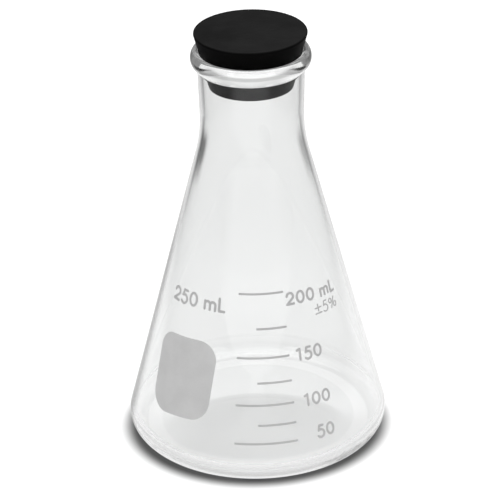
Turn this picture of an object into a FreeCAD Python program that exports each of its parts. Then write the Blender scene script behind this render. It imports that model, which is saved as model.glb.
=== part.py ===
import FreeCAD, Part
import math
import os

import Sketcher

# A 250 mL conical flask of borosilicate glass with a beaded mouth, its fired enamel scale,
# and the solid rubber stopper that closes it. Millimetres. +Z is up the flask's axis, z = 0 is
# the bench, and -Y is the side that carries the scale. An azimuth is counted in degrees from
# -Y towards +X, seen from above.

DIMENSIONS = (
    # alias, value, what it is
    ("body_diameter", 82.76, "widest outside diameter, at the heel"),
    ("overall_height", 130.6, "bench to the top of the lip"),
    ("cone_half_angle", 14.7, "slope of the conical wall from the axis, degrees"),
    ("heel_radius", 5.3, "outside rounding between cone and foot"),
    ("foot_ring_diameter", 62.0, "inner edge of the flat ring it stands on"),
    ("punt_height", 1.2, "how far the underside rises in the middle"),
    ("floor_height", 3.9, "inside floor above the bench, in the middle"),
    ("floor_dome_radius", 402.0, "crown of the inside floor"),
    ("inner_heel_radius", 5.2, "inside rounding between cone and floor"),
    ("wall", 1.35, "thickness of the conical wall"),
    ("shoulder_radius", 50.6, "outside blend between cone and neck"),
    ("neck_diameter", 32.3, "outside diameter at the foot of the neck"),
    ("neck_half_flare", 1.3, "how much the neck opens upwards from the axis, degrees"),
    ("neck_wall", 1.65, "thickness of the neck's wall"),
    ("bead_diameter", 37.2, "outside diameter of the beaded rim"),
    ("bead_height", 128.1, "height of the bead's widest circle"),
    ("bead_fillet_radius", 1.2, "hollow between bead and neck"),
    ("mouth_diameter", 31.64, "circle of the lip that the stopper bears on"),
    ("lip_radius", 1.2, "rounding of the fire-polished lip"),
    ("mouth_blend_radius", 6.0, "blend between the mouth's seat and the bore"),
    ("stopper_top_diameter", 35.1, "wide end of the stopper"),
    ("stopper_length", 17.4, "height of the stopper"),
    ("stopper_half_taper", 14.9, "slope of the stopper's side, degrees"),
    ("stopper_edge_radius", 0.5, "moulded rounding of both end edges"),
    ("seat_clearance", 0.04, "radial gap kept between stopper and lip"),
    ("enamel_gap", 0.01, "between the glass and the underside of the print"),
    ("enamel_thickness", 0.09, "thickness of the fired print"),
    ("enamel_low", 8.0, "lowest level the printed skin reaches"),
    ("enamel_high", 64.0, "highest level the printed skin reaches"),
    ("line_width", 0.64, "height of one graduation line"),
    ("scale_right", 18.2, "azimuth where every graduation line ends"),
    ("long_line_left", -11.0, "azimuth where a numbered line starts"),
    ("short_line_left", 0.0, "azimuth where an unnumbered line starts"),
    ("spot_azimuth", -42.8, "middle of the marking spot"),
    ("spot_width", 22.7, "width of the marking spot"),
    ("spot_low", 18.0, "lower edge of the marking spot, in its middle"),
    ("spot_high", 43.3, "upper edge of the marking spot, in its middle"),
    ("spot_slope", 5.5, "how much both edges rise towards the scale, degrees"),
    ("spot_corner_radius", 6.1, "rounded corners of the marking spot"),
    ("figure_height", 4.15, "height of the scale's figures"),
    ("figure_stroke", 0.74, "stroke width of the scale's figures"),
    ("figure_gap", 0.5, "gap between two characters"),
    ("capacity_height", 4.65, "height of the capacity's figures"),
    ("capacity_stroke", 0.8, "stroke width of the capacity's figures"),
    ("tolerance_height", 3.5, "height of the tolerance mark's characters"),
    ("tolerance_stroke", 0.4, "stroke width of the tolerance mark"),
    ("print_droop", 0.0004, "how far a baseline falls per squared degree from the front"),
)

# Each graduation: volume in millilitres, and whether its line is a long, numbered one.
GRADUATIONS = ((50, True), (75, False), (100, True), (125, False), (150, True), (175, False),
               (200, True))

# Printed words: node, characters, azimuth of the left edge, baseline, and the cells that give
# the character height and stroke. The baseline is a level, or a drop below a graduation line.
WORDS = (
    ("numeral_50", "50", 28.0, ("mark_50", 0.6), "figure_height", "figure_stroke"),
    ("numeral_100", "100", 23.5, ("mark_100", 2.0), "figure_height", "figure_stroke"),
    ("numeral_150", "150", 22.1, ("mark_150", 2.2), "figure_height", "figure_stroke"),
    ("numeral_200_ml", "200 mL", 19.3, ("mark_200", 4.4), "figure_height", "figure_stroke"),
    ("tolerance_mark", "±5%", 38.4, ("mark_200", 9.2), "tolerance_height", "tolerance_stroke"),
    ("capacity_250_ml", "250 mL", -61.2, ("mark_200", 6.3), "capacity_height",
     "capacity_stroke"),
)

SHEET = "Dimensions"
PLANE_NORMAL = FreeCAD.Vector(0, 0, 1)

# How a sketch numbers the points of a line or an arc, and its own axes.
START, END, CENTRE = 1, 2, 3
LEVEL_AXIS, UPRIGHT_AXIS = -1, -2
ORIGIN = (LEVEL_AXIS, START)

INSIDE_TOLERANCE = 0.01     # how near a point may be to a surface and still count as inside
HALVINGS = 16               # splits the flask's height into steps of 0.002 mm


# ---------------------------------------------------------------- document and spreadsheet

def make_sheet(doc):
    sheet = doc.addObject("Spreadsheet::Sheet", SHEET)
    for row, (alias, value, note) in enumerate(DIMENSIONS, start=1):
        write_cell(sheet, row, alias, value, note)
    doc.recompute()
    return sheet


def write_cell(sheet, row, alias, value, note):
    sheet.set(f"A{row}", alias)
    sheet.set(f"B{row}", str(value))
    sheet.set(f"C{row}", note)
    sheet.setAlias(f"B{row}", alias)


def cell(alias):
    """How an expression names a cell."""
    return f"{SHEET}.{alias}"


def cone_radius_text(level):
    """Expression for the outside radius of the conical wall at a level."""
    heel = cell("heel_radius")
    slope = f"{cell('cone_half_angle')} * 1 deg"
    edge = f"{cell('body_diameter')} / 2 - {heel} + {heel} * cos({slope})"
    rise = f"(({level}) - {heel} - {heel} * sin({slope}))"
    return f"({edge} - {rise} * tan({slope}))"


def cone_radius(sheet, level):
    """The same radius as a number."""
    slope = math.radians(sheet.cone_half_angle)
    edge = sheet.body_diameter / 2 - sheet.heel_radius * (1 - math.cos(slope))
    rise = level - sheet.heel_radius * (1 + math.sin(slope))
    return edge - rise * math.tan(slope)


# ---------------------------------------------------------------- sketched outlines

class Outline:
    """A chain of lines and arcs drawn end to end in one sketch."""

    def __init__(self, sketch):
        self.sketch = sketch
        self.ends = {}

    def line(self, start, end):
        index = self.sketch.addGeometry(Part.LineSegment(start, end), False)
        self.ends[index] = (START, END)
        return index

    def arc(self, centre, radius, first, last):
        """An arc from the direction first to the direction last, in degrees."""
        low, high = sorted((math.radians(first), math.radians(last)))
        circle = Part.Circle(centre, PLANE_NORMAL, radius)
        index = self.sketch.addGeometry(Part.ArcOfCircle(circle, low, high), False)
        self.ends[index] = (START, END) if first < last else (END, START)
        return index

    def join(self, kind, before, after):
        last = self.ends[before][1]
        first = self.ends[after][0]
        self.sketch.addConstraint(Sketcher.Constraint(kind, before, last, after, first))

    def fix(self, *values):
        self.sketch.addConstraint(Sketcher.Constraint(*values))

    def drive(self, name, expression, *values):
        """A named dimension bound to the spreadsheet."""
        index = self.sketch.addConstraint(Sketcher.Constraint(*values))
        self.sketch.renameConstraint(index, name)
        self.sketch.setExpression(f"Constraints.{name}", expression)

    def radius(self, name, expression, arc):
        drawn = self.sketch.Geometry[arc].Radius
        self.drive(name, expression, "Radius", arc, drawn)

    def reach(self, name, expression, item, point):
        """How far a point lies from the upright axis, on its right."""
        drawn = self.sketch.getPoint(item, point).x
        self.drive(name, expression, "DistanceX", *ORIGIN, item, point, drawn)

    def level(self, name, expression, item, point):
        """How high a point lies above the level axis."""
        drawn = self.sketch.getPoint(item, point).y
        self.drive(name, expression, "DistanceY", *ORIGIN, item, point, drawn)

    def slope(self, name, expression, line, degrees):
        self.drive(name, expression, "Angle", line, math.radians(degrees))


def flat(x, y):
    return FreeCAD.Vector(x, y, 0)


def around(centre, radius, degrees):
    angle = math.radians(degrees)
    return flat(centre.x + radius * math.cos(angle), centre.y + radius * math.sin(angle))


def distance_along(point, degrees):
    """How far out a point lies in a direction."""
    angle = math.radians(degrees)
    return point.x * math.cos(angle) + point.y * math.sin(angle)


def centre_outside(first, second, radius):
    """Centre of the circle that touches two lines from outside.

    A line is the direction of its outward normal, in degrees, and its distance from the origin.
    """
    a = math.radians(first[0])
    b = math.radians(second[0])
    p = first[1] + radius
    q = second[1] + radius
    spread = math.sin(b - a)
    return flat((p * math.sin(b) - q * math.sin(a)) / spread,
                (q * math.cos(a) - p * math.cos(b)) / spread)


def sketch_on_plane(body, role, name):
    sketch = body.newObject("Sketcher::SketchObject", name)
    plane = next(item for item in body.Origin.OriginFeatures if item.Role == role)
    sketch.AttachmentSupport = [(plane, "")]
    sketch.MapMode = "FlatFace"
    return sketch


def revolve(body, sketch, name):
    turned = body.newObject("PartDesign::Revolution", name)
    turned.Profile = sketch
    turned.ReferenceAxis = (sketch, ["V_Axis"])
    turned.Angle = 360
    body.Tip = turned
    return turned


# ---------------------------------------------------------------- glass flask

def draw_outside(outline, sheet):
    """Underside, heel, cone, shoulder, neck and bead, from the axis outwards and up."""
    slope = sheet.cone_half_angle
    flare = sheet.neck_half_flare
    ring = sheet.foot_ring_diameter / 2
    punt = (ring ** 2 + sheet.punt_height ** 2) / (2 * sheet.punt_height)
    parts = {}

    below = flat(0, sheet.punt_height - punt)
    parts["punt"] = outline.arc(below, punt, 90, 90 - math.degrees(math.asin(ring / punt)))
    heel = flat(sheet.body_diameter / 2 - sheet.heel_radius, sheet.heel_radius)
    parts["foot"] = outline.line(flat(ring, 0), flat(heel.x, 0))
    parts["heel"] = outline.arc(heel, sheet.heel_radius, -90, slope)

    shoulder = shoulder_centre(sheet)
    cone_foot = around(heel, sheet.heel_radius, slope)
    cone_top = around(shoulder, sheet.shoulder_radius, 180 + slope)
    neck_foot = around(shoulder, sheet.shoulder_radius, 180 - flare)
    parts["cone"] = outline.line(cone_foot, cone_top)
    parts["shoulder"] = outline.arc(shoulder, sheet.shoulder_radius, 180 + slope, 180 - flare)

    lip = lip_centre(sheet)
    bead, bulge = bead_circle(sheet)
    fillet = sheet.bead_fillet_radius
    hollow = hollow_centre(sheet, neck_foot, bead, bulge + fillet)
    rise = math.degrees(math.atan2(bead.y - hollow.y, bead.x - hollow.x))
    turn = math.degrees(math.atan2(lip.y - bead.y, lip.x - bead.x))
    parts["neck"] = outline.line(neck_foot, around(hollow, fillet, 180 - flare))
    parts["hollow"] = outline.arc(hollow, fillet, 180 - flare, rise)
    parts["bead_low"] = outline.arc(bead, bulge, rise - 180, 0)
    parts["bead_high"] = outline.arc(bead, bulge, 0, turn)
    parts["lip"] = outline.arc(lip, sheet.lip_radius, turn, 180 - sheet.stopper_half_taper)
    return parts


def cone_distance(sheet):
    """Distance of the conical wall's outside from the origin, square to the wall."""
    return distance_along(flat(cone_radius(sheet, 0), 0), sheet.cone_half_angle)


def shoulder_centre(sheet):
    """The shoulder touches the cone, and meets the neck where the neck has its diameter."""
    slope = math.radians(sheet.cone_half_angle)
    radius = sheet.shoulder_radius
    x = sheet.neck_diameter / 2 + radius * math.cos(math.radians(sheet.neck_half_flare))
    y = (cone_distance(sheet) + radius - x * math.cos(slope)) / math.sin(slope)
    return flat(x, y)


def lip_centre(sheet):
    taper = math.radians(sheet.stopper_half_taper)
    radius = sheet.mouth_diameter / 2 + sheet.lip_radius * math.cos(taper)
    return flat(radius, sheet.overall_height - sheet.lip_radius)


def bead_circle(sheet):
    """The bead's round reaches the bead's diameter and touches the rounding of the lip."""
    lip = lip_centre(sheet)
    lift = lip.y - sheet.bead_height
    inset = sheet.bead_diameter / 2 - lip.x
    bulge = (inset ** 2 + lift ** 2 - sheet.lip_radius ** 2) / (2 * (inset - sheet.lip_radius))
    return flat(sheet.bead_diameter / 2 - bulge, sheet.bead_height), bulge


def hollow_centre(sheet, neck_foot, bead, reach):
    """The hollow under the bead touches the neck's line and lies a given reach from the bead."""
    flare = sheet.neck_half_flare
    start = around(neck_foot, sheet.bead_fillet_radius, -flare)
    across = distance_along(bead - start, -flare)
    along = distance_along(bead - start, 90 - flare)
    return around(start, along - math.sqrt(reach ** 2 - across ** 2), 90 - flare)


def draw_inside(outline, sheet):
    """Seat, bore, inner shoulder, inner cone and floor, from the lip back to the axis."""
    slope = sheet.cone_half_angle
    flare = sheet.neck_half_flare
    taper = sheet.stopper_half_taper
    neck_foot = around(shoulder_centre(sheet), sheet.shoulder_radius, 180 - flare)
    bore_line = (-flare, distance_along(neck_foot, -flare) - sheet.neck_wall)
    parts = {}

    lip_end = around(lip_centre(sheet), sheet.lip_radius, 180 - taper)
    blend = sheet.mouth_blend_radius
    mouth = centre_outside((-taper, distance_along(lip_end, -taper)), bore_line, blend)
    parts["seat"] = outline.line(lip_end, around(mouth, blend, 180 - taper))
    parts["mouth_blend"] = outline.arc(mouth, blend, 180 - taper, 180 - flare)

    inner_radius = sheet.shoulder_radius + sheet.neck_wall
    inner_cone_line = (slope, cone_distance(sheet) - sheet.wall)
    shoulder = centre_outside(bore_line, inner_cone_line, inner_radius)
    bore_foot = around(shoulder, inner_radius, 180 - flare)
    parts["bore"] = outline.line(around(mouth, blend, 180 - flare), bore_foot)
    parts["inner_shoulder"] = outline.arc(shoulder, inner_radius, 180 - flare, 180 + slope)
    cone_top = around(shoulder, inner_radius, 180 + slope)

    heel_radius = sheet.inner_heel_radius
    heel_level = sheet.floor_height + heel_radius - sheet.punt_height
    offset = (sheet.wall + heel_radius) / math.cos(math.radians(slope))
    heel = flat(cone_radius(sheet, heel_level) - offset, heel_level)
    parts["inner_cone"] = outline.line(cone_top, around(heel, heel_radius, slope))
    dome = sheet.floor_dome_radius
    lean = math.degrees(math.asin(heel.x / (dome + heel_radius)))
    parts["inner_heel"] = outline.arc(heel, heel_radius, slope, -90 - lean)
    parts["floor"] = outline.arc(flat(0, sheet.floor_height - dome), dome, 90 - lean, 90)
    parts["axis"] = outline.line(flat(0, sheet.floor_height), flat(0, sheet.punt_height))
    return parts


def constrain_outside(outline, sheet, p):
    outline.join("Coincident", p["punt"], p["foot"])
    outline.join("Tangent", p["foot"], p["heel"])
    outline.join("Tangent", p["heel"], p["cone"])
    outline.join("Tangent", p["cone"], p["shoulder"])
    outline.join("Tangent", p["shoulder"], p["neck"])
    outline.join("Tangent", p["neck"], p["hollow"])
    outline.join("Tangent", p["hollow"], p["bead_low"])
    outline.join("Coincident", p["bead_low"], p["bead_high"])
    outline.join("Tangent", p["bead_high"], p["lip"])
    outline.fix("PointOnObject", p["punt"], CENTRE, UPRIGHT_AXIS)
    outline.fix("PointOnObject", p["foot"], START, LEVEL_AXIS)
    outline.fix("Horizontal", p["foot"])
    outline.fix("Coincident", p["bead_low"], CENTRE, p["bead_high"], CENTRE)
    outline.fix("Horizontal", p["bead_low"], CENTRE, p["bead_low"], END)

    outline.reach("foot_ring", f"{cell('foot_ring_diameter')} / 2", p["foot"], START)
    outline.radius("heel_radius", cell("heel_radius"), p["heel"])
    outline.reach("heel_centre", f"{cell('body_diameter')} / 2 - {cell('heel_radius')}",
                  p["heel"], CENTRE)
    outline.slope("cone_slope", f"90 deg + {cell('cone_half_angle')} * 1 deg",
                  p["cone"], 90 + sheet.cone_half_angle)
    outline.radius("shoulder_radius", cell("shoulder_radius"), p["shoulder"])
    outline.reach("neck_radius", f"{cell('neck_diameter')} / 2", p["neck"], START)
    outline.slope("neck_slope", f"90 deg - {cell('neck_half_flare')} * 1 deg",
                  p["neck"], 90 - sheet.neck_half_flare)
    outline.radius("hollow_radius", cell("bead_fillet_radius"), p["hollow"])
    outline.reach("bead_radius", f"{cell('bead_diameter')} / 2", p["bead_low"], END)
    outline.level("bead_level", cell("bead_height"), p["bead_low"], END)
    outline.radius("lip_radius", cell("lip_radius"), p["lip"])
    outline.level("lip_level", f"{cell('overall_height')} - {cell('lip_radius')}",
                  p["lip"], CENTRE)


def constrain_inside(outline, sheet, p, outside):
    outline.join("Tangent", outside["lip"], p["seat"])
    outline.join("Tangent", p["seat"], p["mouth_blend"])
    outline.join("Tangent", p["mouth_blend"], p["bore"])
    outline.join("Tangent", p["bore"], p["inner_shoulder"])
    outline.join("Tangent", p["inner_shoulder"], p["inner_cone"])
    outline.join("Tangent", p["inner_cone"], p["inner_heel"])
    outline.join("Tangent", p["inner_heel"], p["floor"])
    outline.join("Coincident", p["floor"], p["axis"])
    outline.join("Coincident", p["axis"], outside["punt"])
    outline.fix("Parallel", p["bore"], outside["neck"])
    outline.fix("PointOnObject", p["floor"], CENTRE, UPRIGHT_AXIS)
    outline.fix("PointOnObject", p["axis"], START, UPRIGHT_AXIS)
    outline.fix("PointOnObject", p["axis"], END, UPRIGHT_AXIS)
    outline.fix("Parallel", p["inner_cone"], outside["cone"])

    outline.reach("mouth_radius", f"{cell('mouth_diameter')} / 2", p["seat"], START)
    outline.slope("seat_slope", f"270 deg - {cell('stopper_half_taper')} * 1 deg",
                  p["seat"], 270 - sheet.stopper_half_taper)
    outline.radius("mouth_blend", cell("mouth_blend_radius"), p["mouth_blend"])
    outline.drive("neck_wall", cell("neck_wall"),
                  "Distance", p["bore"], START, outside["neck"], sheet.neck_wall)
    outline.radius("inner_shoulder", f"{cell('shoulder_radius')} + {cell('neck_wall')}",
                   p["inner_shoulder"])
    outline.drive("wall", cell("wall"),
                  "Distance", p["inner_cone"], START, outside["cone"], sheet.wall)
    outline.radius("inner_heel", cell("inner_heel_radius"), p["inner_heel"])
    outline.radius("floor_dome", cell("floor_dome_radius"), p["floor"])
    outline.level("floor_level", cell("floor_height"), p["axis"], START)
    outline.level("punt_level", cell("punt_height"), p["axis"], END)


def make_flask(doc, sheet):
    body = doc.addObject("PartDesign::Body", "Flask")
    body.Label = "flask_body"
    sketch = sketch_on_plane(body, "XZ_Plane", "FlaskOutline")
    outline = Outline(sketch)
    outside = draw_outside(outline, sheet)
    inside = draw_inside(outline, sheet)
    constrain_outside(outline, sheet, outside)
    constrain_inside(outline, sheet, inside, outside)
    revolve(body, sketch, "FlaskGlass")
    doc.recompute()
    return body


# ---------------------------------------------------------------- rubber stopper

def draw_stopper(outline, sheet):
    """Half of a frustum that stands on the level axis, wide end up."""
    top = sheet.stopper_top_diameter / 2
    high = sheet.stopper_length
    low = top - high * math.tan(math.radians(sheet.stopper_half_taper))
    corners = (flat(0, 0), flat(low, 0), flat(top, high), flat(0, high))
    base, side, crown, axis = (
        outline.line(start, end) for start, end in zip(corners, corners[1:] + corners[:1])
    )
    for before, after in ((base, side), (side, crown), (crown, axis), (axis, base)):
        outline.join("Coincident", before, after)
    outline.fix("Coincident", base, START, *ORIGIN)
    outline.fix("Horizontal", base)
    outline.fix("Horizontal", crown)
    outline.fix("Vertical", axis)
    outline.reach("top_radius", f"{cell('stopper_top_diameter')} / 2", crown, START)
    outline.level("length", cell("stopper_length"), crown, START)
    outline.slope("side_slope", f"90 deg - {cell('stopper_half_taper')} * 1 deg",
                  side, 90 - sheet.stopper_half_taper)


def round_both_ends(body, turned):
    rounded = body.newObject("PartDesign::Fillet", "StopperEdges")
    edges = turned.Shape.Edges
    rims = [f"Edge{n}" for n, e in enumerate(edges, start=1) if isinstance(e.Curve, Part.Circle)]
    rounded.Base = (turned, rims)
    rounded.setExpression("Radius", cell("stopper_edge_radius"))
    body.Tip = rounded


def seat_stopper(body):
    """Lowers the stopper until its side is one clearance short of the lip.

    The lip is touched where its rounding has the same slope as the stopper's side.
    """
    taper = f"{cell('stopper_half_taper')} * 1 deg"
    lip = cell("lip_radius")
    bearing = f"{cell('overall_height')} - {lip} + {lip} * sin({taper})"
    narrow = f"{cell('stopper_top_diameter')} / 2 - {cell('stopper_length')} * tan({taper})"
    widening = f"{cell('mouth_diameter')} / 2 - {cell('seat_clearance')} - ({narrow})"
    body.setExpression("Placement.Base.z", f"{bearing} - ({widening}) / tan({taper})")


def make_stopper(doc, sheet):
    body = doc.addObject("PartDesign::Body", "Stopper")
    body.Label = "rubber_stopper"
    sketch = sketch_on_plane(body, "XZ_Plane", "StopperOutline")
    draw_stopper(Outline(sketch), sheet)
    turned = revolve(body, sketch, "StopperBlank")
    doc.recompute()
    round_both_ends(body, turned)
    seat_stopper(body)
    doc.recompute()
    return body


# ---------------------------------------------------------------- graduation levels

def find_cavity(flask, sheet):
    """The space inside the flask, from its floor to the lip."""
    # The block ends level with the lip, so the space inside and the space around the flask
    # are separate pieces of what is left of it.
    block = Part.makeCylinder(sheet.body_diameter, sheet.overall_height)
    just_above_floor = FreeCAD.Vector(0, 0, sheet.floor_height + sheet.wall)
    for piece in block.cut(flask.Shape).Solids:
        if piece.isInside(just_above_floor, INSIDE_TOLERANCE, False):
            return piece
    raise RuntimeError("the flask has no cavity")


def millilitres_below(cavity, level, sheet):
    slab = Part.makeCylinder(sheet.body_diameter, level)
    return cavity.common(slab).Volume / 1000


def level_of_volume(cavity, millilitres, sheet):
    """The fill level of a volume, found by halving the interval it lies in."""
    low = sheet.punt_height
    high = sheet.overall_height
    for _ in range(HALVINGS):
        middle = (low + high) / 2
        if millilitres_below(cavity, middle, sheet) < millilitres:
            low = middle
        else:
            high = middle
    return (low + high) / 2


def write_levels(doc, sheet, flask):
    """One more cell per graduation: the height at which the flask holds that volume."""
    cavity = find_cavity(flask, sheet)
    first_row = len(DIMENSIONS) + 1
    for row, (volume, _) in enumerate(GRADUATIONS, start=first_row):
        level = level_of_volume(cavity, volume, sheet)
        write_cell(sheet, row, f"mark_{volume}", round(level, 3), f"level of {volume} mL")
    doc.recompute()


# ---------------------------------------------------------------- fired enamel print

def make_cone(doc, name, low, high, offset):
    """A cone that follows the glass from one level to another, a given offset outside it."""
    cone = doc.addObject("Part::Cone", name)
    cone.setExpression("Radius1", f"{cone_radius_text(low)} + {offset}")
    cone.setExpression("Radius2", f"{cone_radius_text(high)} + {offset}")
    cone.setExpression("Height", f"({high}) - ({low})")
    cone.setExpression("Placement.Base.z", low)
    return cone


def make_skin(doc, name, low, high):
    """The outer and the inner cone of a printed layer, and the layer between them."""
    under = cell("enamel_gap")
    over = f"{under} + {cell('enamel_thickness')}"
    outer = make_cone(doc, f"{name}_outer", low, high, over)
    inner = make_cone(doc, f"{name}_inner", low, high, under)
    skin = doc.addObject("Part::Cut", name)
    skin.Base = outer
    skin.Tool = inner
    return skin, outer, inner


def turn_to(item, azimuth):
    """Turns an object about the flask's axis, so that its +X side faces an azimuth."""
    item.Placement = FreeCAD.Placement(item.Placement.Base, FreeCAD.Rotation(PLANE_NORMAL, 0))
    item.setExpression("Placement.Rotation.Angle", f"({azimuth} - 90) * 1 deg")


def make_graduation_line(doc, volume, is_long):
    half = f"{cell('line_width')} / 2"
    level = cell(f"mark_{volume}")
    left = cell("long_line_left" if is_long else "short_line_left")
    name = f"Line{volume}"
    skin, outer, inner = make_skin(doc, name, f"{level} - {half}", f"{level} + {half}")
    for cone in (outer, inner):
        cone.setExpression("Angle", f"({cell('scale_right')} - {left}) * 1 deg")
        turn_to(cone, left)
    skin.Label = f"graduation_{volume}_ml"
    return skin


def draw_spot(outline, sheet):
    """A rounded panel about the upright axis, with sloping ends: its corner arcs, then its sides."""
    corner = sheet.spot_corner_radius
    slope = sheet.spot_slope
    right = sheet.spot_width / 2 - corner
    inset = corner / math.cos(math.radians(slope))
    rise = right * math.tan(math.radians(slope))
    low = sheet.spot_low + inset
    high = sheet.spot_high - inset
    centres = (flat(right, low + rise), flat(right, high + rise),
               flat(-right, high - rise), flat(-right, low - rise))
    turns = (slope - 90, 0, slope + 90, 180, slope + 270)
    arcs = [outline.arc(centre, corner, first, last)
            for centre, first, last in zip(centres, turns, turns[1:])]
    sides = []
    for centre, following, turn in zip(centres, centres[1:] + centres[:1], turns[1:]):
        side = outline.line(around(centre, corner, turn), around(following, corner, turn))
        sides.append(side)
    return arcs, sides


def constrain_spot(outline, sheet, arcs, sides):
    for arc, side, following in zip(arcs, sides, arcs[1:] + arcs[:1]):
        outline.join("Tangent", arc, side)
        outline.join("Tangent", side, following)
    right, top, left, bottom = sides
    outline.fix("Vertical", right)
    outline.fix("Vertical", left)
    outline.fix("Parallel", top, bottom)
    for arc in arcs[1:]:
        outline.fix("Equal", arcs[0], arc)
    corner = cell("spot_corner_radius")
    slope = f"{cell('spot_slope')} * 1 deg"
    inset = f"{corner} / cos({slope})"
    rise = f"({cell('spot_width')} / 2 - {corner}) * tan({slope})"
    outline.radius("corner", corner, arcs[0])
    outline.reach("right_side", f"{cell('spot_width')} / 2", right, START)
    outline.level("lower_corner", f"{cell('spot_low')} + {inset} + {rise}", arcs[0], CENTRE)
    outline.level("upper_corner", f"{cell('spot_high')} - {inset} + {rise}", arcs[1], CENTRE)
    outline.slope("upper_edge", f"180 deg + {slope}", top, 180 + sheet.spot_slope)
    outline.drive("width", cell("spot_width"), "Distance", left, START, right, sheet.spot_width)


def make_marking_spot(doc, sheet, skin):
    """The blank panel for a pencil note: a rounded panel projected on the cone.

    The outline stands upright in a plane through the axis and is pushed out radially.
    """
    sketch = doc.addObject("Sketcher::SketchObject", "SpotOutline")
    outline = Outline(sketch)
    arcs, sides = draw_spot(outline, sheet)
    constrain_spot(outline, sheet, arcs, sides)
    sketch.Placement = upright_placement(sheet.spot_azimuth, 0)
    push = doc.addObject("Part::Extrusion", "SpotReach")
    push.Base = sketch
    push.DirMode = "Normal"
    push.Solid = True
    push.setExpression("LengthFwd", f"{cell('body_diameter')} / 2")
    spot = doc.addObject("Part::Common", "Spot")
    spot.Base = skin
    spot.Tool = push
    spot.Label = "marking_spot"
    return spot


def upright_placement(azimuth, level):
    """Stands a flat outline up: its x runs along the wall, its y up, its normal points outwards."""
    stand = FreeCAD.Rotation(FreeCAD.Vector(1, 0, 0), 90)
    turn = FreeCAD.Rotation(PLANE_NORMAL, azimuth)
    return FreeCAD.Placement(FreeCAD.Vector(0, 0, level), turn.multiply(stand))


# ---------------------------------------------------------------- printed characters

# A character is a list of strokes on a grid one unit high, with its width. A stroke is a list
# of steps: a point to draw a line to, or a pair of points to draw an arc through and to.
# An ellipse is its centre and its two half-widths.
CHARACTERS = {
    "0": (0.70, [("ellipse", (0.35, 0.5), (0.35, 0.5))]),
    "1": (0.42, [("path", (0.0, 0.88), [(0.27, 1.0), (0.27, 0.0)])]),
    "2": (0.64, [("path", (0.02, 0.72), [((0.32, 1.0), (0.58, 0.51)), (0.0, 0.0), (0.64, 0.0)])]),
    "5": (0.62, [("path", (0.56, 1.0), [(0.19, 1.0), (0.08, 0.57),
                                        ((0.62, 0.31), (0.0, 0.07))])]),
    "m": (0.96, [("path", (0.0, 0.0), [(0.0, 0.64)]),
                 ("path", (0.0, 0.40), [((0.24, 0.64), (0.48, 0.40)), (0.48, 0.0)]),
                 ("path", (0.48, 0.40), [((0.72, 0.64), (0.96, 0.40)), (0.96, 0.0)])]),
    "L": (0.44, [("path", (0.0, 1.0), [(0.0, 0.0), (0.44, 0.0)])]),
    "±": (0.80, [("path", (0.0, 0.56), [(0.80, 0.56)]),
                 ("path", (0.40, 0.22), [(0.40, 0.90)]),
                 ("path", (0.0, 0.0), [(0.80, 0.0)])]),
    "%": (1.05, [("ellipse", (0.20, 0.77), (0.20, 0.23)),
                 ("ellipse", (0.85, 0.23), (0.20, 0.23)),
                 ("path", (0.24, 0.0), [(0.81, 1.0)])]),
    " ": (0.14, []),
}


def stroke_face(stroke, scale, width):
    """One stroke as a flat face of the pen's width."""
    kind, start, rest = stroke

    def at(point):
        return flat(point[0] * scale + width / 2, point[1] * scale + width / 2)

    if kind == "ellipse":
        return ring_face(at(start), rest[0] * scale, rest[1] * scale, width)
    edges = []
    here = at(start)
    for step in rest:
        if isinstance(step[0], tuple):
            there = at(step[1])
            edges.append(Part.Arc(here, at(step[0]), there).toShape())
        else:
            there = at(step)
            edges.append(Part.makeLine(here, there))
        here = there
    return pen_face(Part.Wire(edges), width)


def pen_face(wire, width):
    """The area a round pen covers along a wire."""
    areas = []
    for edge in wire.Edges:
        areas.append(edge_area(edge, width))
    for vertex in wire.Vertexes:
        dot = Part.Circle(vertex.Point, PLANE_NORMAL, width / 2)
        areas.append(Part.Face(Part.Wire(dot.toShape())))
    return areas[0].multiFuse(areas[1:]).removeSplitter()


def edge_area(edge, width):
    """The band a pen leaves along one straight or round edge."""
    first, last = (vertex.Point for vertex in edge.Vertexes)
    if isinstance(edge.Curve, Part.Circle):
        curve = edge.Curve
        start, end = edge.ParameterRange
        sides = []
        for radius in (curve.Radius - width / 2, curve.Radius + width / 2):
            side = Part.Circle(curve.Center, curve.Axis, radius)
            side.XAxis = curve.XAxis
            sides.append(Part.ArcOfCircle(side, start, end).toShape())
    else:
        across = (last - first).cross(PLANE_NORMAL).normalize() * (width / 2)
        sides = [Part.makeLine(first + across, last + across),
                 Part.makeLine(first - across, last - across)]
    ends = [Part.makeLine(sides[0].valueAt(value), sides[1].valueAt(other))
            for value, other in zip(sides[0].ParameterRange, sides[1].ParameterRange)]
    return Part.Face(Part.Wire(Part.__sortEdges__(sides + ends)))


def ring_face(centre, half_width, half_height, width):
    """A closed round stroke."""
    shapes = []
    for grow in (width / 2, -width / 2):
        across = half_width + grow
        up = half_height + grow
        if up >= across:
            curve = Part.Ellipse(centre + flat(0, up), centre + flat(across, 0), centre)
        else:
            curve = Part.Ellipse(centre + flat(across, 0), centre + flat(0, up), centre)
        shapes.append(Part.Face(Part.Wire(curve.toShape())))
    return shapes[0].cut(shapes[1])


def print_character(skin, strokes, scale, stroke, width, place):
    """The parts of the printed skin that one character covers, projected radially.

    place is the azimuth of the character's middle, its baseline and how far out to project.
    """
    azimuth, level, reach = place
    faces = [stroke_face(item, scale, stroke) for item in strokes]
    outline = faces[0].multiFuse(faces[1:]) if len(faces) > 1 else faces[0]
    outline.translate(flat(-width / 2, 0))
    outline.Placement = upright_placement(azimuth, level).multiply(outline.Placement)
    outwards = FreeCAD.Rotation(PLANE_NORMAL, azimuth).multVec(FreeCAD.Vector(0, -1, 0))
    return skin.Shape.common(outline.extrude(outwards * reach)).Solids


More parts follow.
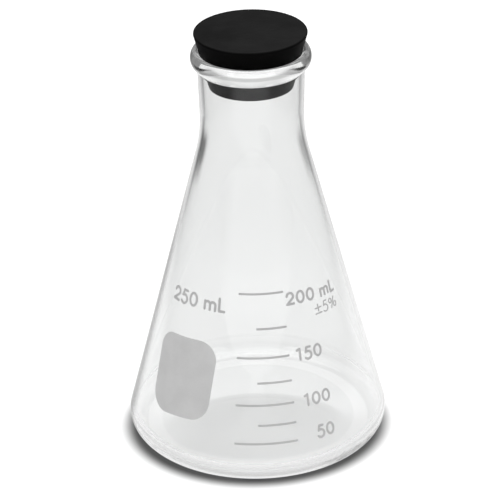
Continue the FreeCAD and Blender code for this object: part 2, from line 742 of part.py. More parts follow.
def make_word(doc, sheet, skin, word):
    """A row of characters wrapped on the cone, each at its own azimuth."""
    node, text, left, (mark, drop), height_cell, stroke_cell = word
    stroke = getattr(sheet, stroke_cell)
    scale = getattr(sheet, height_cell) - stroke
    baseline = getattr(sheet, mark) - drop
    wall_radius = cone_radius(sheet, baseline + scale / 2)
    solids = []
    azimuth = left
    for character in text:
        grid_width, strokes = CHARACTERS[character]
        width = grid_width * scale + stroke
        if strokes:
            middle = azimuth + math.degrees(width / 2 / wall_radius)
            level = baseline - sheet.print_droop * middle ** 2
            place = (middle, level, sheet.body_diameter / 2)
            solids += print_character(skin, strokes, scale, stroke, width, place)
        azimuth += math.degrees((width + sheet.figure_gap) / wall_radius)
    feature = doc.addObject("Part::Feature", node)
    feature.Shape = Part.makeCompound(solids)
    feature.Label = node
    feature.Placement = FreeCAD.Placement()
    return feature


# ---------------------------------------------------------------- build, check, export

def check_document(doc):
    for item in doc.Objects:
        bad = [word for word in item.State if word in ("Invalid", "Error")]
        if bad:
            raise RuntimeError(f"{item.Label} is {bad}")


def check_shape(item):
    shape = item.Shape
    if shape.isNull() or not shape.isValid() or shape.Volume <= 0:
        raise RuntimeError(f"{item.Label} has no valid solid")


def main():
    doc = FreeCAD.newDocument("ConicalFlask")
    sheet = make_sheet(doc)
    flask = make_flask(doc, sheet)
    check_document(doc)
    stopper = make_stopper(doc, sheet)
    write_levels(doc, sheet, flask)
    skin = make_skin(doc, "PrintSkin", cell("enamel_low"), cell("enamel_high"))[0]
    doc.recompute()
    nodes = [flask, stopper]
    nodes += [make_graduation_line(doc, volume, is_long) for volume, is_long in GRADUATIONS]
    nodes.append(make_marking_spot(doc, sheet, skin))
    nodes += [make_word(doc, sheet, skin, word) for word in WORDS]
    doc.recompute()
    check_document(doc)
    os.makedirs("parts", exist_ok=True)
    for node in nodes:
        check_shape(node)
    for node in nodes:
        node.Shape.exportStep(f"parts/{node.Label}.step")
        print(node.Label, round(node.Shape.Volume, 3), "mm3")


main()
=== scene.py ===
import math

import bpy
from mathutils import Matrix, Vector


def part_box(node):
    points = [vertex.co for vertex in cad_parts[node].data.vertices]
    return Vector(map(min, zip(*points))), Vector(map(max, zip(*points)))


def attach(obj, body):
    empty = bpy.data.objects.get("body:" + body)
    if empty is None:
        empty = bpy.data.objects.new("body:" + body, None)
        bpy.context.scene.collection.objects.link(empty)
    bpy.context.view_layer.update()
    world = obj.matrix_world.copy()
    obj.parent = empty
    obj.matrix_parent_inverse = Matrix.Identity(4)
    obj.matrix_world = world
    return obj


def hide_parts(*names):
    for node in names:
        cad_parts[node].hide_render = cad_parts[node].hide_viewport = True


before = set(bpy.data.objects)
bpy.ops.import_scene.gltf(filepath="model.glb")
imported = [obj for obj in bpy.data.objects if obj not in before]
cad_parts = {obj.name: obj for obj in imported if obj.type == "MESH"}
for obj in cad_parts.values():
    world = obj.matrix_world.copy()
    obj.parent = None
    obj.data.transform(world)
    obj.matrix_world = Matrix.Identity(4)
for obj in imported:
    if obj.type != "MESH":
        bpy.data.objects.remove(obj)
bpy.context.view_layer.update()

# Everything is in metres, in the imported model's frame: +Z up the flask, -Y towards the viewer.
MM = 0.001
SEGMENTS = 320              # steps round the axis of the glass and of the stopper
GLASS_IOR = 1.473           # borosilicate glass
ENAMEL_NODES = [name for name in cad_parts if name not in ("flask_body", "rubber_stopper")]


# ---------------------------------------------------------------- node helpers

class Nodes:
    """A short way to build a node tree. A value is a plain one, or what a node puts out."""

    def __init__(self, tree):
        self.tree = tree
        tree.nodes.clear()

    def add(self, kind, inputs=None, **settings):
        node = self.tree.nodes.new(kind)
        for name, value in settings.items():
            setattr(node, name, value)
        for name, value in (inputs or {}).items():
            self.put(node.inputs[name], value)
        return node

    def put(self, socket, value):
        if isinstance(value, bpy.types.NodeSocket):
            self.tree.links.new(value, socket)
        elif isinstance(value, bpy.types.Node):
            self.tree.links.new(value.outputs[0], socket)
        else:
            socket.default_value = value

    def math(self, operation, first, second=0.0, clamp=False):
        node = self.add("ShaderNodeMath", {0: first, 1: second}, operation=operation)
        node.use_clamp = clamp
        return node.outputs[0]

    def chain(self, operation, values):
        """One operation from the first value to the last."""
        result = values[0]
        for value in values[1:]:
            result = self.math(operation, result, value)
        return result

    def times(self, *values):
        return self.chain("MULTIPLY", values)

    def plus(self, *values):
        return self.chain("ADD", values)

    def most(self, *values):
        return self.chain("MAXIMUM", values)

    def minus(self, first, second):
        return self.math("SUBTRACT", first, second)

    def size(self, value):
        """The value without its sign."""
        return self.math("ABSOLUTE", value)

    def smooth(self, value, low, high, to_low=0.0, to_high=1.0):
        """A smooth step from to_low to to_high as value goes from low to high."""
        node = self.add("ShaderNodeMapRange", {0: value, 1: low, 2: high, 3: to_low, 4: to_high},
                        interpolation_type="SMOOTHSTEP")
        return node.outputs[0]

    def hump(self, value, foot, top, brink, end):
        """A smooth step up from foot to top, and down again from brink to end."""
        return self.times(self.smooth(value, foot, top), self.smooth(value, brink, end, 1.0, 0.0))

    def mix(self, factor, first, second):
        return self.add("ShaderNodeMix", {0: factor, 2: first, 3: second},
                        data_type="FLOAT").outputs[0]

    def mix_colour(self, factor, first, second):
        return self.add("ShaderNodeMix", {0: factor, 6: first, 7: second},
                        data_type="RGBA").outputs[2]

    def mix_shader(self, factor, first, second):
        return self.add("ShaderNodeMixShader", {0: factor, 1: first, 2: second})

    def where(self, space):
        """The shaded point's place in a space: Object or Camera."""
        return self.add("ShaderNodeTexCoord").outputs[space]

    def parts(self, vector):
        """The x, y and z of a vector."""
        return self.add("ShaderNodeSeparateXYZ", {0: vector}).outputs

    def stretch(self, place, scale):
        return self.add("ShaderNodeMapping", {"Vector": place, "Scale": scale}).outputs[0]

    def noise(self, place, scale, detail, roughness=0.5):
        node = self.add("ShaderNodeTexNoise",
                        {"Vector": place, "Scale": scale, "Detail": detail, "Roughness": roughness})
        return node.outputs["Fac"]

    def oval(self, x, y, middle_x, middle_y, squash):
        """The distance from a middle, with the x part squashed."""
        across = self.times(self.minus(x, middle_x), squash)
        along = self.minus(y, middle_y)
        return self.math("SQRT", self.plus(self.times(across, across), self.times(along, along)))

    def facing(self):
        """0 where the surface faces the viewer, 1 where it is seen edge on."""
        return self.add("ShaderNodeLayerWeight", {"Blend": 0.5}).outputs["Facing"]

    def ray(self):
        """What is known about the ray that meets the surface."""
        return self.add("ShaderNodeLightPath").outputs

    def bump(self, height, distance, strength):
        return self.add("ShaderNodeBump",
                        {"Height": height, "Distance": distance, "Strength": strength}).outputs[0]

    # An emission on a surface that is no lamp: painted light.
    def painted_glow(self, strength):
        return self.add("ShaderNodeEmission", {"Color": grey(1.0), "Strength": strength})


def grey(value):
    return (value, value, value, 1.0)


def new_material(name):
    material = bpy.data.materials.new(name)
    material.use_nodes = True
    return material, Nodes(material.node_tree)


def seen_side(n, place):
    """How far to the side a point of a round piece is seen: -1 at its left outline, 1 at its right."""
    x, y, _ = n.parts(place)
    return n.math("DIVIDE", n.parts(n.where("Camera"))[0], n.oval(x, y, 0.0, 0.0, 1.0))


# ---------------------------------------------------------------- glass

GLASS_TINT = (0.985, 0.99, 0.988, 1.0)
RIPPLE_DEPTH = 0.00012      # slow ripple that blown glass keeps
SMUDGE_ROUGHNESS = 0.012    # the roughest that a faint smudge gets
PAINTED_GLOW_DEPTH = 6.5          # rays that have gone on for longer end in the painted glow, as if caught in the wall
PAINTED_GLOW_TURNS = 2.5          # and so do those that have been turned back more often


def painted_shoulder_streaks(n, level, facing, side):
    """Painted dark streaks that run down both edges of the shoulder, the left one stronger."""
    streak = n.hump(facing, 0.44, 0.56, 0.64, 0.74)
    band = n.hump(level, 0.086, 0.099, 0.102, 0.109)
    return n.times(streak, band, n.smooth(side, -0.9, 0.9, 0.75, 0.4))


def painted_left_outline(n, level, facing, side):
    """A painted dark outline of the cone at the left."""
    outline = n.smooth(facing, 0.66, 0.88)
    left = n.smooth(side, -0.5, -0.95, 0.0, 0.8)
    return n.times(outline, left, n.smooth(level, 0.06, 0.09, 1.0, 0.0))


def painted_rim_shade(n, place, level, side):
    """A painted dark line along the bead that thickens towards its ends, and painted dark streaks at
    the ends.
    """
    aside = n.size(side)
    middle = n.smooth(aside, 0.6, 0.9, 0.1296, 0.1281)
    width = n.smooth(aside, 0.6, 0.84, 0.0002, 0.0007)
    off = n.math("DIVIDE", n.size(n.minus(level, middle)), width)
    strength = n.times(n.smooth(aside, 0.58, 0.80, 0.0, 0.95), n.smooth(aside, 0.87, 0.95, 1.0, 0.3))
    line = n.times(n.smooth(off, 0.4, 1.0, 1.0, 0.0), strength)
    fine_noise = n.noise(n.stretch(place, (0.5, 0.5, 2.0)), 420.0, 2.0)
    painted_dark_patches = n.smooth(fine_noise, 0.42, 0.56, 0.0, 0.55)
    ends = n.times(painted_dark_patches, n.smooth(aside, 0.88, 0.97), n.smooth(level, 0.1250, 0.1258))
    return n.most(line, ends)


def painted_heel_shade(n, place, level, facing, side):
    """Painted shade in the thick heel: grey across the front, darker towards the right, with painted
    dark streaks at both sides.
    """
    band = n.hump(level, 0.0003, 0.0009, 0.0035, 0.0060)
    front = n.times(n.smooth(side, -0.92, -0.6, 0.04, 0.26), n.smooth(facing, 0.42, 0.62, 1.0, 0.2))
    right = n.smooth(side, 0.5, 0.85, 0.0, 0.38)
    fine_noise = n.noise(n.stretch(place, (1.0, 1.0, 3.0)), 260.0, 2.0)
    streaks = n.times(n.smooth(fine_noise, 0.5, 0.6, 0.0, 0.4), n.smooth(n.size(side), 0.5, 0.7))
    return n.times(band, n.plus(front, right, streaks))


def painted_edge_shade(n, place, level, facing, side):
    """Painted dark reflections and shade in the glass's colour, where the room's dark side would show.
    """
    return n.most(painted_shoulder_streaks(n, level, facing, side), painted_left_outline(n, level, facing, side),
                  painted_rim_shade(n, place, level, side),
                  painted_heel_shade(n, place, level, facing, side))


def painted_foot_highlight(n, level, facing, side):
    """A painted highlight: the bright line along the foot, where the heel turns away from the eye."""
    line = n.times(n.smooth(facing, 0.50, 0.66, 0.0, 0.8), n.smooth(level, 0.003, 0.005, 1.0, 0.0))
    return n.times(line, n.smooth(side, 0.4, 0.7, 1.0, 0.0))


def glass_relief(n, place, level, side):
    """The ripple, which is nearly still across the front of the heel."""
    ripple = n.noise(n.stretch(place, (1.0, 1.0, 0.35)), 45.0, 1.0)
    fine = n.noise(place, 260.0, 2.0)
    calm = n.times(n.smooth(n.size(side), 0.45, 0.75, 0.9, 0.0),
                   n.smooth(level, 0.006, 0.014, 1.0, 0.0))
    strength = n.times(n.minus(1.0, calm), 0.6)
    return n.bump(n.plus(ripple, n.times(fine, 0.04)), RIPPLE_DEPTH, strength)


def glass_material():
    """Clear borosilicate glass with a faint tint.

    Light on its way to another surface passes straight through, thinned where it grazes the
    wall, so that the flask throws a soft, clean shadow.
    """
    material, n = new_material("borosilicate_glass_clear")
    place = n.where("Object")
    level = n.parts(place)[2]
    side = seen_side(n, place)
    facing = n.facing()
    ray = n.ray()
    # For the camera the glass's colour is painted darker: painted dark reflections along the edges and
    # rim, painted shade in the heel.
    edge = n.times(painted_edge_shade(n, place, level, facing, side), ray["Is Camera Ray"])
    kept = n.math("POWER", n.math("SUBTRACT", 1.0, edge, clamp=True), 2.0)
    smudge = n.smooth(n.noise(place, 70.0, 5.0, 0.6), 0.55, 0.8, 0.0, SMUDGE_ROUGHNESS)
    glass = n.add("ShaderNodeBsdfPrincipled", {
        "Base Color": n.mix_colour(kept, grey(0.0), GLASS_TINT), "Roughness": smudge,
        "IOR": GLASS_IOR, "Transmission Weight": 1.0,
        "Normal": glass_relief(n, place, level, side)})
    clear = n.mix_colour(n.smooth(facing, 0.5, 1.0), grey(0.97), grey(0.45))
    straight = n.add("ShaderNodeBsdfTransparent", {"Color": clear})
    lighting = n.most(ray["Is Shadow Ray"], ray["Is Diffuse Ray"])
    shader = n.mix_shader(lighting, glass, straight)
    # Rays that have gone a long way or been turned back often end in a painted glow with the tone of
    # the table, in place of light caught in the thick heel or rim. The painted highlight along the
    # foot is this glow too.
    long_way = n.math("GREATER_THAN", ray["Ray Depth"], PAINTED_GLOW_DEPTH)
    many_turns = n.math("GREATER_THAN", ray["Glossy Depth"], PAINTED_GLOW_TURNS)
    foot = n.times(painted_foot_highlight(n, level, facing, side), ray["Is Camera Ray"])
    painted_glow = n.painted_glow(n.smooth(level, 0.03, 0.10, 0.85, 0.25))
    whole = n.mix_shader(n.most(long_way, many_turns, foot), shader, painted_glow)
    n.add("ShaderNodeOutputMaterial", {"Surface": whole})
    return material


# ---------------------------------------------------------------- rubber

PIT_DEPTH = 0.00006
SEAT_LOW = 0.1243           # the squeezed band of the side, that the rim is in front of
SEAT_HIGH = 0.1302


def rubber_shader(n, place):
    """Black moulded rubber: a dusty bloom and fine pitting, both stronger on the flat top. The
    stronger bloom on top is also painted light that makes the top lighter than the side.
    """
    bloom = n.noise(place, 160.0, 6.0, 0.62)
    cloud = n.noise(place, 55.0, 3.0)
    dust = n.times(n.smooth(bloom, 0.42, 0.72), n.smooth(cloud, 0.35, 0.7, 0.4, 1.0))
    normal = n.add("ShaderNodeNewGeometry").outputs["Normal"]
    top_face = n.smooth(n.parts(normal)[2], 0.3, 0.9)
    # Bloom, lighter on the flat top: partly real dust, partly painted light on the top.
    dust_and_top_light = n.times(dust, n.plus(n.times(top_face, 0.8), 0.2))
    pits = n.noise(place, 1400.0, 3.0)
    skin = n.noise(place, 300.0, 4.0)
    relief = n.plus(n.times(top_face, 0.4), 0.1)
    return n.add("ShaderNodeBsdfPrincipled", {
        "Base Color": n.mix_colour(dust_and_top_light, grey(0.0014), grey(0.0042)),
        "Roughness": n.smooth(cloud, 0.3, 0.7, 0.52, 0.66),
        "Specular IOR Level": n.plus(n.times(top_face, 0.02), 0.03),
        "Normal": n.bump(n.plus(pits, n.times(skin, 1.6)), PIT_DEPTH, relief)})


def painted_seat_light(n, place, level):
    """What the rim shows of the seat, all painted light: a painted emission and a painted mirror on
    the rubber, standing in for light that the air gap turns back, a bright haze.
    """
    mirror = n.add("ShaderNodeBsdfAnisotropic", {"Color": grey(0.98), "Roughness": 0.12})
    low_half = n.smooth(level, 0.1266, 0.1269, 0.86, 0.55)
    high_half = n.smooth(level, 0.1273, 0.1277, 0.0, 0.55)
    ends = n.smooth(n.size(seen_side(n, place)), 0.45, 0.85, 0.0, 0.35)
    return n.mix_shader(0.75, mirror, n.painted_glow(n.plus(low_half, high_half, ends)))


def rubber_material():
    """Rubber, but for its squeezed band when that is seen through the thick glass rim, which shows
    painted light.
    """
    material, n = new_material("black_rubber_moulded")
    place = n.where("Object")
    level = n.parts(place)[2]
    seated = n.hump(level, SEAT_LOW, SEAT_LOW + 0.0005, SEAT_HIGH - 0.0004, SEAT_HIGH)
    # Seen through the glass, the band shows painted light in place of rubber.
    painted_seat_mask = n.times(seated, n.ray()["Is Transmission Ray"])
    shader = n.mix_shader(painted_seat_mask, rubber_shader(n, place), painted_seat_light(n, place, level))
    n.add("ShaderNodeOutputMaterial", {"Surface": shader})
    return material


# ---------------------------------------------------------------- enamel and table

GRAIN_DEPTH = 0.00002


def enamel_material(name, dark, light):
    """Fired ceramic ink: pale grey, satin, with the mottling of a screen print."""
    material, n = new_material(name)
    place = n.where("Object")
    fine_noise = n.noise(place, 2600.0, 3.0, 0.6)
    patch = n.noise(place, 130.0, 3.0)
    tone = n.plus(n.times(fine_noise, 0.35), n.times(patch, 0.65))
    shader = n.add("ShaderNodeBsdfPrincipled", {
        "Base Color": n.mix_colour(n.smooth(tone, 0.3, 0.7), grey(dark), grey(light)),
        "Roughness": n.smooth(patch, 0.3, 0.7, 0.42, 0.55), "Specular IOR Level": 0.35,
        "Normal": n.bump(fine_noise, GRAIN_DEPTH, 0.5)})
    n.add("ShaderNodeOutputMaterial", {"Surface": shader})
    return material


def table_seen(n, x, y):
    """The table in plain view: white, with a painted dark shadow where the thick heel hugs it."""
    shade = n.smooth(n.oval(x, y, -0.0005, -0.003, 0.92), 0.0356, 0.0419, 0.10, 1.0)
    return n.times(shade, 0.97)


def table_in_glass(n, x, y):
    """The table as the glass shows it, with painted shade: greyer, and darker off to both sides.

    Under the flask a painted pool of light gathers round a calm middle of painted shade, with a
    painted dark arc at its back.
    """
    seen_x = n.parts(n.where("Camera"))[0]
    left = n.smooth(seen_x, -0.20, -0.115, 0.40, 1.0)
    right = n.smooth(seen_x, 0.115, 0.20, 1.0, 0.5)
    calm = n.oval(x, y, 0.0, -0.008, 0.7)
    ring = n.times(n.smooth(calm, 0.0165, 0.0180), n.smooth(calm, 0.0195, 0.0210, 0.09, 0.0))
    far_edge = n.minus(n.smooth(calm, 0.0150, 0.0215, 0.72, 0.90), ring)
    near_edge = n.smooth(calm, 0.0150, 0.0290, 0.72, 0.86)
    under = n.mix(n.smooth(y, -0.010, 0.006), near_edge, far_edge)
    radius = n.oval(x, y, 0.0, 0.0, 1.0)
    around_it = n.smooth(radius, 0.07, 0.16, 0.70, 0.655)
    return n.times(left, right, n.mix(n.smooth(radius, 0.040, 0.046), under, around_it))


def floor_material():
    material, n = new_material("white_table")
    x, y, _ = n.parts(n.where("Object"))
    # The table's colour holds painted shade: a painted contact shadow in plain view, and for rays from
    # the glass a greyer copy with painted shade and light.
    level = n.mix(n.ray()["Is Camera Ray"], table_in_glass(n, x, y), table_seen(n, x, y))
    colour = n.add("ShaderNodeCombineColor", {0: level, 1: level, 2: level})
    n.add("ShaderNodeOutputMaterial",
          {"Surface": n.add("ShaderNodeBsdfDiffuse", {"Color": colour})})
    return material


# ---------------------------------------------------------------- outlines

# Millimetres and degrees. Slopes are counted from the axis.
BODY_RADIUS = round(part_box("flask_body")[1].x / MM, 2)
LIP_LEVEL = round(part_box("flask_body")[1].z / MM, 2)
CONE_SLOPE = 14.7
NECK_FLARE = 1.3            # how much the neck opens upwards
WALL = 1.35                 # thickness of the conical wall
NECK_WALL = 1.65
HEEL_RADIUS = 5.3
RING_RADIUS = 31.0          # inner edge of the flat ring it stands on
PUNT_HEIGHT = 1.2           # how far the underside rises in the middle
FLOOR_LEVEL = 3.9           # inside, in the middle
FLOOR_CROWN = 402.0         # radius of the crowned floor
INNER_HEEL_RADIUS = 5.2
SHOULDER_RADIUS = 50.6
NECK_RADIUS = 16.15         # where the shoulder ends
HOLLOW_RADIUS = 1.2         # between the neck and the bead
BEAD_RADIUS = 18.6          # out to the bead's widest circle
BEAD_LEVEL = 128.1
LIP_ROUNDING = 1.2
MOUTH_RADIUS = 15.82        # the circle of the lip that the stopper bears on
MOUTH_BLEND = 6.0

STOPPER_LEVEL = round(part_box("rubber_stopper")[0].z / MM, 3)
STOPPER_LENGTH = 17.4
STOPPER_RADIUS = 17.55      # at the top
STOPPER_TAPER = 14.9        # of its side, and of the seat that it rests on
STOPPER_EDGE = 0.5          # rounding of both end edges

LONGEST_TURN = 4.0          # degrees of an arc in one span
TOUCHING = 0.001            # two places this near are the same


def around(centre, radius, degrees):
    angle = math.radians(degrees)
    return centre + radius * Vector((math.cos(angle), math.sin(angle)))


def direction(degrees):
    return around(Vector((0.0, 0.0)), 1.0, degrees)


# A line is a pair: the direction of its outward normal, and its distance from the origin.

def line_through(point, degrees):
    return degrees, point.dot(direction(degrees))


def moved(line, distance):
    """The same line further out, or further in if the distance is negative."""
    return line[0], line[1] + distance


def crossing(first, second):
    a = math.radians(first[0])
    b = math.radians(second[0])
    spread = math.sin(b - a)
    return Vector(((first[1] * math.sin(b) - second[1] * math.sin(a)) / spread,
                   (second[1] * math.cos(a) - first[1] * math.cos(b)) / spread))


def point_at_reach(line, centre, reach, up):
    """The upper or the lower point of a line that lies a given reach from a centre."""
    across = line[1] - centre.dot(direction(line[0]))
    along = math.sqrt(reach ** 2 - across ** 2)
    foot = around(centre, across, line[0])
    return around(foot, along if up else -along, line[0] + 90.0)


class Outline:
    """Half an outline, drawn with the material on the left hand. Millimetres in, metres out.

    Each span keeps the true surface normal at both of its ends.
    """

    def __init__(self, start, step):
        self.place = start
        self.step = step            # longest span
        self.spans = []

    def add_span(self, place, before, after):
        self.spans.append((self.place * MM, before, place * MM, after))
        self.place = place

    def line(self, end):
        start = self.place
        way = end - start
        normal = Vector((way.y, -way.x)).normalized()
        count = max(1, math.ceil(way.length / self.step))
        for i in range(1, count + 1):
            self.add_span(start + way * (i / count), normal, normal)

    def arc(self, centre, radius, first, last):
        """Straight on to the arc's start, then round it from the first direction to the last."""
        start = around(centre, radius, first)
        if (start - self.place).length > TOUCHING:
            self.line(start)
        turn = last - first
        outwards = math.copysign(1.0, turn)
        count = max(2, math.ceil(radius * math.radians(abs(turn)) / self.step),
                    math.ceil(abs(turn) / LONGEST_TURN))
        for i in range(1, count + 1):
            before = first + turn * (i - 1) / count
            after = first + turn * i / count
            self.add_span(around(centre, radius, after), outwards * direction(before),
                          outwards * direction(after))


def bead_and_lip():
    """Centre and radius of the bead's round, which reaches the lip's, and the lip's centre."""
    taper = math.radians(STOPPER_TAPER)
    lip = Vector((MOUTH_RADIUS + LIP_ROUNDING * math.cos(taper), LIP_LEVEL - LIP_ROUNDING))
    inset = BEAD_RADIUS - lip.x
    lift = lip.y - BEAD_LEVEL
    bulge = (inset ** 2 + lift ** 2 - LIP_ROUNDING ** 2) / (2 * (inset - LIP_ROUNDING))
    return Vector((BEAD_RADIUS - bulge, BEAD_LEVEL)), bulge, lip


def towards(start, end):
    """The direction from one point to another."""
    return math.degrees(math.atan2(end.y - start.y, end.x - start.x))


def glass_outline():
    """The flask's outline, from under the foot, up the outside, over the lip and back inside."""
    punt_radius = (RING_RADIUS ** 2 + PUNT_HEIGHT ** 2) / (2 * PUNT_HEIGHT)
    punt = Vector((0.0, PUNT_HEIGHT - punt_radius))
    heel = Vector((BODY_RADIUS - HEEL_RADIUS, HEEL_RADIUS))
    cone = line_through(around(heel, HEEL_RADIUS, CONE_SLOPE), CONE_SLOPE)
    middle_radius = NECK_RADIUS + SHOULDER_RADIUS * math.cos(math.radians(NECK_FLARE))
    shoulder = crossing(moved(cone, SHOULDER_RADIUS), (0.0, middle_radius))
    neck = line_through(around(shoulder, SHOULDER_RADIUS, 180.0 - NECK_FLARE), -NECK_FLARE)
    bead, bulge, lip = bead_and_lip()
    hollow = point_at_reach(moved(neck, HOLLOW_RADIUS), bead, bulge + HOLLOW_RADIUS, up=False)

    draw = Outline(Vector((0.0, PUNT_HEIGHT)), 2.0)
    draw.arc(punt, punt_radius, 90.0, towards(punt, Vector((RING_RADIUS, 0.0))))
    draw.arc(heel, HEEL_RADIUS, -90.0, CONE_SLOPE)
    draw.arc(shoulder, SHOULDER_RADIUS, 180.0 + CONE_SLOPE, 180.0 - NECK_FLARE)
    draw.arc(hollow, HOLLOW_RADIUS, 180.0 - NECK_FLARE, towards(hollow, bead))
    draw.arc(bead, bulge, towards(bead, hollow), towards(bead, lip))
    draw.arc(lip, LIP_ROUNDING, towards(bead, lip), 180.0 - STOPPER_TAPER)
    draw_inside(draw, cone, neck)
    return draw.spans


def draw_inside(draw, cone, neck):
    """From the lip down: the seat, the bore, the inner shoulder, the inner cone and the floor."""
    seat = line_through(draw.place, -STOPPER_TAPER)
    bore = moved(neck, -NECK_WALL)
    inner_cone = moved(cone, -WALL)
    mouth = crossing(moved(seat, MOUTH_BLEND), moved(bore, MOUTH_BLEND))
    radius = SHOULDER_RADIUS + NECK_WALL
    shoulder = crossing(moved(bore, radius), moved(inner_cone, radius))
    crown = Vector((0.0, FLOOR_LEVEL - FLOOR_CROWN))
    heel = point_at_reach(moved(inner_cone, -INNER_HEEL_RADIUS), crown,
                          FLOOR_CROWN + INNER_HEEL_RADIUS, up=True)

    draw.arc(mouth, MOUTH_BLEND, 180.0 - STOPPER_TAPER, 180.0 - NECK_FLARE)
    draw.arc(shoulder, radius, 180.0 - NECK_FLARE, 180.0 + CONE_SLOPE)
    draw.arc(heel, INNER_HEEL_RADIUS, CONE_SLOPE, towards(heel, crown))
    draw.arc(crown, FLOOR_CROWN, towards(crown, heel), 90.0)


def stopper_outline():
    top = STOPPER_LEVEL + STOPPER_LENGTH
    narrow_end = moved((-90.0, -STOPPER_LEVEL), -STOPPER_EDGE)
    side = moved(line_through(Vector((STOPPER_RADIUS, top)), -STOPPER_TAPER), -STOPPER_EDGE)
    wide_end = moved((90.0, top), -STOPPER_EDGE)
    draw = Outline(Vector((0.0, STOPPER_LEVEL)), 1.0)
    draw.arc(crossing(narrow_end, side), STOPPER_EDGE, -90.0, -STOPPER_TAPER)
    draw.arc(crossing(side, wide_end), STOPPER_EDGE, -STOPPER_TAPER, 90.0)
    draw.line(Vector((0.0, top)))
    return draw.spans


# ---------------------------------------------------------------- turned pieces

ON_AXIS = 1e-6              # a place nearer to the axis is one point, not a ring


def turned_mesh(name, spans):
    """Revolves an outline that starts and ends on the axis."""
    vertices = []
    rings = []
    for place in [spans[0][0]] + [span[2] for span in spans]:
        if place.x < ON_AXIS:
            rings.append([len(vertices)] * SEGMENTS)
            vertices.append((0.0, 0.0, place.y))
            continue
        rings.append(list(range(len(vertices), len(vertices) + SEGMENTS)))
        for i in range(SEGMENTS):
            angle = 2 * math.pi * i / SEGMENTS
            vertices.append((place.x * math.cos(angle), place.x * math.sin(angle), place.y))
    faces = []
    normals = []
    for low, high, (_, low_normal, _, high_normal) in zip(rings, rings[1:], spans):
        for i in range(SEGMENTS):
            j = (i + 1) % SEGMENTS
            corners = ((low[i], i, low_normal), (low[j], j, low_normal),
                       (high[j], j, high_normal), (high[i], i, high_normal))
            face = []
            for index, step, normal in corners:
                if index in face:
                    continue
                face.append(index)
                angle = 2 * math.pi * step / SEGMENTS
                normals.append((normal.x * math.cos(angle), normal.x * math.sin(angle), normal.y))
            faces.append(face)
    mesh = bpy.data.meshes.new(name)
    mesh.from_pydata(vertices, [], faces)
    mesh.shade_smooth()
    mesh.normals_split_custom_set(normals)
    piece = bpy.data.objects.new(name, mesh)
    bpy.context.scene.collection.objects.link(piece)
    return piece


def make_glass():
    glass = turned_mesh("glass_flask", glass_outline())
    glass.data.materials.append(glass_material())
    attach(glass, "flask")
    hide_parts("flask_body")


def make_stopper():
    stopper = turned_mesh("moulded_stopper", stopper_outline())
    stopper.data.materials.append(rubber_material())
    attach(stopper, "stopper")
    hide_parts("rubber_stopper")


def paint_enamel():
    panel = enamel_material("fired_enamel_panel", 0.475, 0.535)
    scale = enamel_material("fired_enamel_scale", 0.40, 0.46)
    for name in ENAMEL_NODES:
        enamel = panel if name == "marking_spot" else scale
        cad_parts[name].material_slots[0].material = enamel


# ---------------------------------------------------------------- studio

TABLE_HALF_WIDTH = 2.0
TENT_LIGHT = 0.78           # brightness of the light tent as the glass and the rubber see it
LEFT_FLAG = 0.62            # how much darker the tent is at the far left
RIGHT_FLAG = 0.45           # and at the far right
TABLE_LIGHT = 0.95          # the whole tent, as it lights the table


def make_floor():
    size = TABLE_HALF_WIDTH
    mesh = bpy.data.meshes.new("table")
    corners = [(-size, -size, 0.0), (size, -size, 0.0), (size, size, 0.0), (-size, size, 0.0)]
    mesh.from_pydata(corners, [], [(0, 1, 2, 3)])
    mesh.materials.append(floor_material())
    floor = bpy.data.objects.new("table", mesh)
    bpy.context.scene.collection.objects.link(floor)


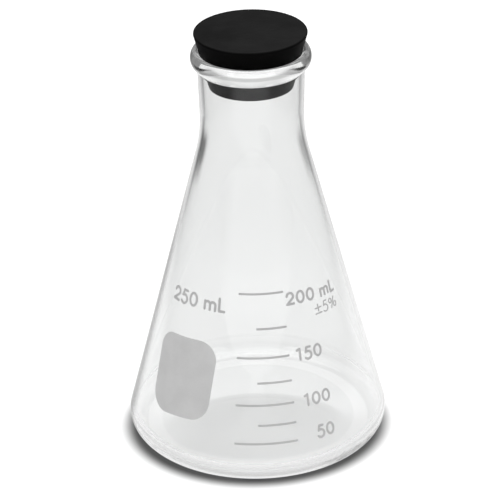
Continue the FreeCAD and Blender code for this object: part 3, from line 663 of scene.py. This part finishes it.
def make_world():
    """A white light tent with dark flags beside the camera, which draw the edges of the glass.

    The table is lit as if the tent had no flags, and the camera sees plain white.
    """
    world = bpy.data.worlds.new("studio")
    bpy.context.scene.world = world
    world.use_nodes = True
    n = Nodes(world.node_tree)
    ray = n.ray()
    seen_x = n.parts(n.where("Camera"))[0]
    left = n.times(n.smooth(seen_x, -0.85, -0.5, 1.0, 0.0), LEFT_FLAG)
    right = n.times(n.smooth(seen_x, 0.6, 0.9), RIGHT_FLAG)
    tent = n.minus(TENT_LIGHT, n.plus(left, right))
    level = n.mix(ray["Is Diffuse Ray"], tent, TABLE_LIGHT)
    studio = n.add("ShaderNodeBackground", {"Color": grey(1.0), "Strength": level})
    plain = n.add("ShaderNodeBackground", {"Color": grey(1.0), "Strength": 1.0})
    mixed = n.mix_shader(ray["Is Camera Ray"], studio, plain)
    n.add("ShaderNodeOutputWorld", {"Surface": mixed})


def make_light(name, place, target, width, height, power):
    """A rectangular softbox that is aimed at a target. Its power is in watts."""
    data = bpy.data.lights.new(name, "AREA")
    data.shape = "RECTANGLE"
    data.size = width
    data.size_y = height
    data.energy = power
    light = bpy.data.objects.new(name, data)
    light.location = place
    aim = Vector(target) - Vector(place)
    light.rotation_euler = aim.to_track_quat("-Z", "Y").to_euler()
    bpy.context.scene.collection.objects.link(light)


def make_camera():
    """A long lens about 0.86 m away, looking down on the flask by nearly 28 degrees.

    Places are in metres and angles in radians.
    """
    away = 0.7385
    height = 0.4487
    pitch = 0.483
    yaw = -0.002
    roll = -0.021
    forward = Vector((math.sin(yaw) * math.cos(pitch), math.cos(yaw) * math.cos(pitch),
                      -math.sin(pitch)))
    level = Vector((math.cos(yaw), -math.sin(yaw), 0.0))
    upward = level.cross(forward)
    right = math.cos(roll) * level + math.sin(roll) * upward
    up = math.cos(roll) * upward - math.sin(roll) * level
    data = bpy.data.cameras.new("camera")
    data.sensor_width = 36.0
    data.lens = 190.0
    camera = bpy.data.objects.new("camera", data)
    turn = Matrix((right, up, -forward)).transposed().to_4x4()
    camera.matrix_world = Matrix.Translation((0.0, -away, height)) @ turn
    bpy.context.scene.collection.objects.link(camera)
    bpy.context.scene.camera = camera


def make_studio():
    make_floor()
    make_world()
    make_light("overhead_softbox", (0.0, 0.15, 0.8), (0.0, 0.0, 0.05), 0.7, 0.7, 3.0)
    make_light("left_softbox", (-0.5, -0.6, 0.5), (0.0, 0.0, 0.07), 0.2, 0.5, 0.6)
    make_light("right_softbox", (0.5, -0.6, 0.5), (0.0, 0.0, 0.07), 0.2, 0.5, 0.6)
    make_camera()
    bpy.context.scene.view_settings.view_transform = "Standard"


make_glass()
make_stopper()
paint_enamel()
make_studio()
